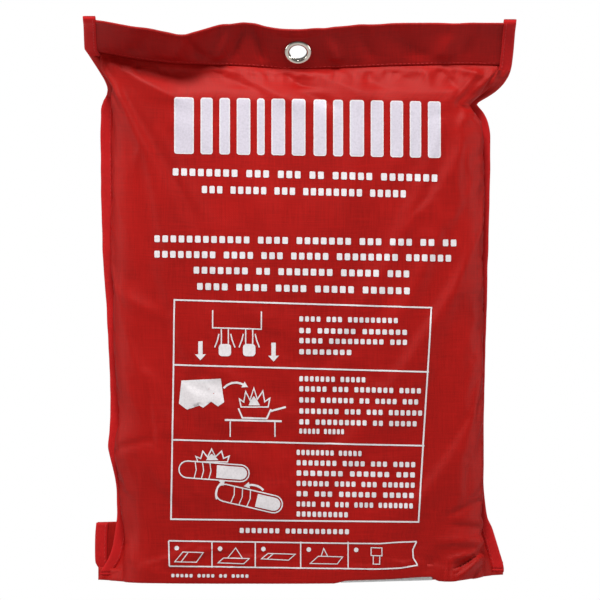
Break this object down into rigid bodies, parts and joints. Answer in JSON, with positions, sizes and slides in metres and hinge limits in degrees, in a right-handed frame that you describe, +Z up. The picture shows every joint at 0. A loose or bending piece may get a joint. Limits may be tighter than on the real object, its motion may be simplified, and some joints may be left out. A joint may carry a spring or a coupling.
{
  "type": "fire blanket",
  "caption": "Folded glass-cloth fire blanket in a soft hanging pouch with bound edges, an eyelet in its header, pull tapes and a closing flap behind.",
  "frame": {"origin": "centre of the hanging eyelet's hole", "axes": "+Z up the pouch, towards the header's top; -Y out of the printed front; +X to the right of someone facing the front"},
  "size_m": [0.318, 0.0438, 0.4176],
  "materials": {
    "red_cloth": "red coated polyester cloth, fine plain weave, satin, printed white on the front",
    "header_cloth": "red coated polyester cloth, doubled and stitched flat",
    "binding_tape": "red woven binding tape, ribbed across, matte",
    "eyelet_metal": "nickel-plated brass pressing, polished",
    "thread": "red polyester sewing thread",
    "label_cloth": "blank white woven label",
    "loop_strip": "red loop pile strip",
    "hook_strip": "red hook strip",
    "glass_cloth": "off-white woven glass cloth, slight sheen",
    "webbing": "black woven webbing"
  },
  "bodies": {
    "pouch": {"front_panel": "red_cloth", "back_panel": "red_cloth", "header_band": "header_cloth", "left_binding": "binding_tape", "right_binding": "binding_tape", "eyelet_flange": "eyelet_metal", "eyelet_washer": "eyelet_metal", "header_stitching": "thread", "left_binding_stitching": "thread", "right_binding_stitching": "thread", "bottom_label": "label_cloth", "back_loop_strip": "loop_strip"},
    "flap": {"bottom_flap": "red_cloth", "flap_left_binding": "binding_tape", "flap_right_binding": "binding_tape", "flap_hook_strip": "hook_strip"},
    "blanket": {"folded_blanket": "glass_cloth", "left_pull_tape": "webbing", "right_pull_tape": "webbing"}
  },
  "joints": [
    {"name": "flap_hinge", "type": "hinge", "parent": "pouch", "child": "flap", "pos_m": [0, 0.02265, -0.3918], "axis": [-1, 0, 0], "range_deg": [0, 175]},
    {"name": "blanket_slide", "type": "slide", "parent": "pouch", "child": "blanket", "axis": [0, 0, -1], "range_m": [0, 0.365]}
  ]
}
